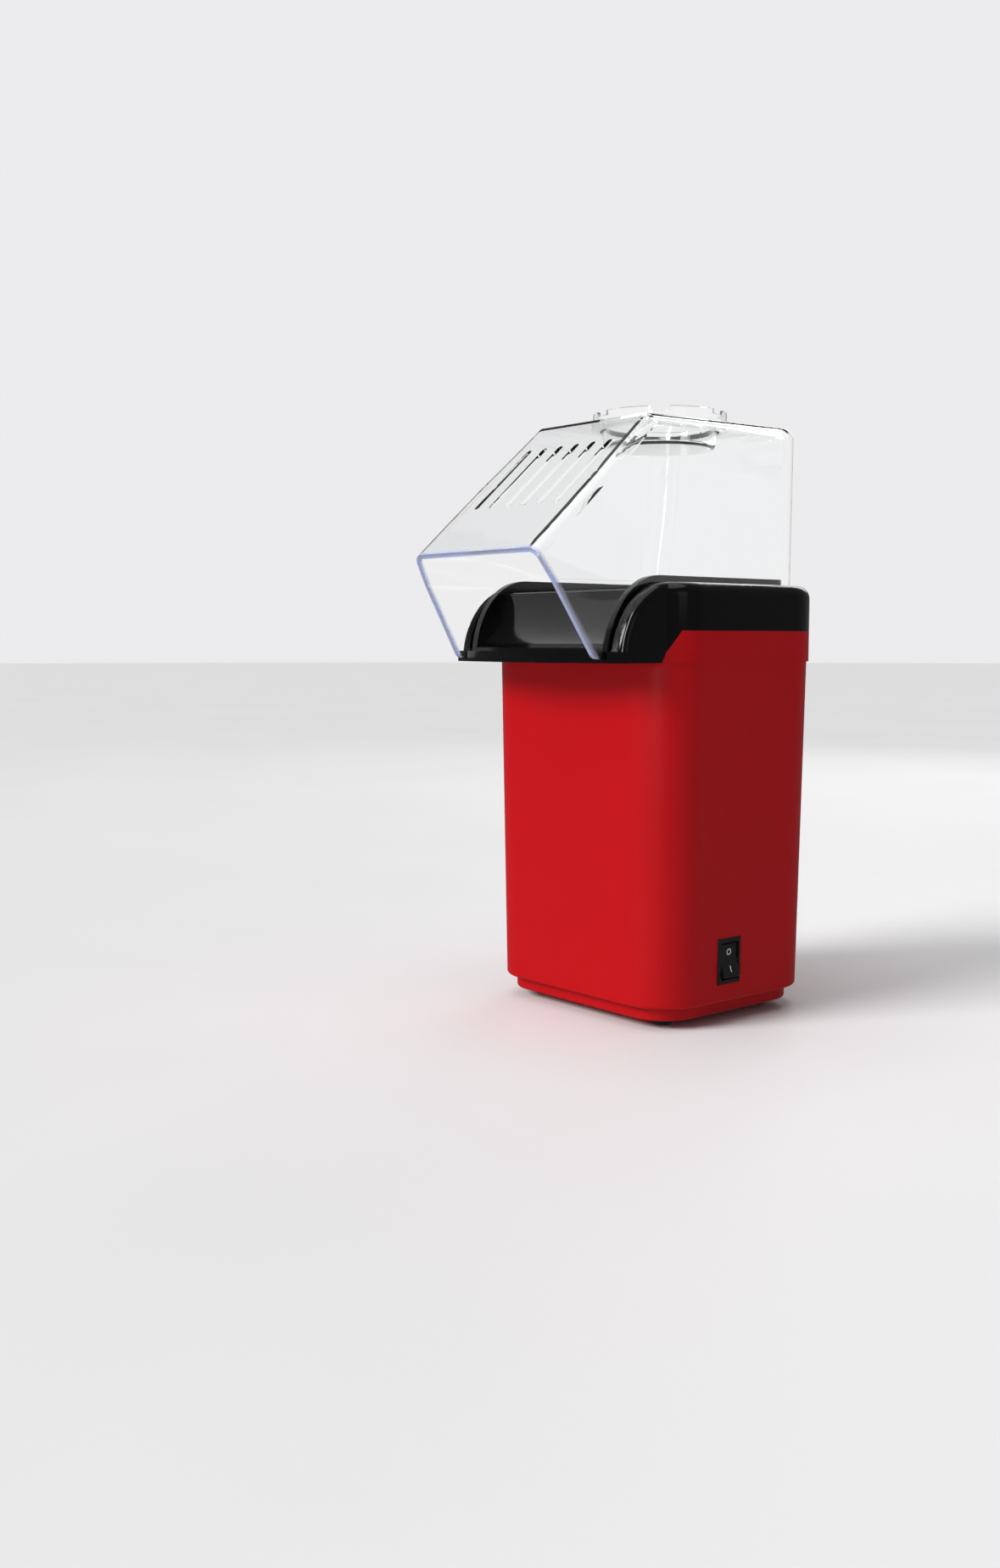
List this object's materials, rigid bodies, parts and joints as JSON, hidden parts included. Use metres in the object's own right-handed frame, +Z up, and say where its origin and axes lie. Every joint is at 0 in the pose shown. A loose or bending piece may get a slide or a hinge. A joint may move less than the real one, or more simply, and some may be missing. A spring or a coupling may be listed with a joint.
{
  "type": "popcorn maker",
  "caption": "Upright hot-air popcorn maker: tapered red housing, black collar with a pouring chute, clear hood with a cup in its top, side rocker switch.",
  "frame": {"origin": "bottom centre of the whole object, on the surface it stands on", "axes": "+Z up along the height; the chute and the hood's mouth point to -Y; +X is the side with the switch"},
  "size_m": [0.126, 0.1654, 0.28],
  "materials": {
    "red_shell": "gloss, fine moulded surface",
    "black_collar": "high gloss",
    "clear_cover": "clear moulded plastic",
    "chamber_aluminium": "drawn, satin",
    "duct_steel": "galvanised sheet",
    "fan_plastic": "heat-resistant moulding",
    "fan_wheel": "moulded",
    "mica": "layered mica board",
    "heating_wire": "oxidised resistance wire",
    "seal_felt": "pressed heat-resistant fibre",
    "motor_steel": "zinc plated",
    "magnet_ferrite": "ferrite",
    "end_bell_plastic": "nylon",
    "shaft_steel": "ground",
    "board_laminate": "phenolic board",
    "diode_black": "epoxy",
    "thermostat_bakelite": "bakelite",
    "fuse_metal": "plated",
    "switch_black": "fine satin",
    "terminal_brass": "stamped",
    "rubber_black": "matte",
    "screw_steel": "zinc plated"
  },
  "bodies": {
    "root": {"body_housing": "red_shell", "base_plate": "red_shell", "chute_collar": "black_collar", "feet": "rubber_black", "cord_gland": "rubber_black", "base_screws": "screw_steel", "collar_screws": "screw_steel", "chamber_screws": "screw_steel", "duct_screws": "screw_steel", "motor_screws": "screw_steel", "popping_chamber": "chamber_aluminium", "chamber_seal": "seal_felt", "heat_duct": "duct_steel", "heater_plates": "mica", "heater_coil": "heating_wire", "thermostat": "thermostat_bakelite", "thermal_fuse": "fuse_metal", "fan_housing": "fan_plastic", "motor_can": "motor_steel", "motor_magnets": "magnet_ferrite", "motor_end_bell": "end_bell_plastic", "rectifier_board": "board_laminate", "rectifier_diodes": "diode_black", "switch_body": "switch_black", "switch_terminals": "terminal_brass"},
    "hood_cover": {"hood": "clear_cover"},
    "cup": {"measuring_cup": "clear_cover"},
    "rocker": {"switch_rocker": "switch_black"},
    "fan_assembly": {"fan": "fan_wheel", "motor_shaft": "shaft_steel", "rotor": "motor_steel", "fan_clip": "screw_steel"}
  },
  "joints": [
    {"name": "hood_lift", "type": "slide", "parent": "root", "child": "hood_cover", "axis": [0, 0, 1], "range_m": [0, 0.1]},
    {"name": "cup_lift", "type": "slide", "parent": "hood_cover", "child": "cup", "axis": [0, 0, 1], "range_m": [0, 0.05]},
    {"name": "rocker_tilt", "type": "hinge", "parent": "root", "child": "rocker", "pos_m": [0.0596, 0.0182, 0.0292], "axis": [0, 1, 0], "range_deg": [0, 20]},
    {"name": "fan_spin", "type": "hinge", "parent": "root", "child": "fan_assembly", "pos_m": [0, 0.0277, 0.0651], "axis": [0, 0, 1], "continuous": true}
  ]
}
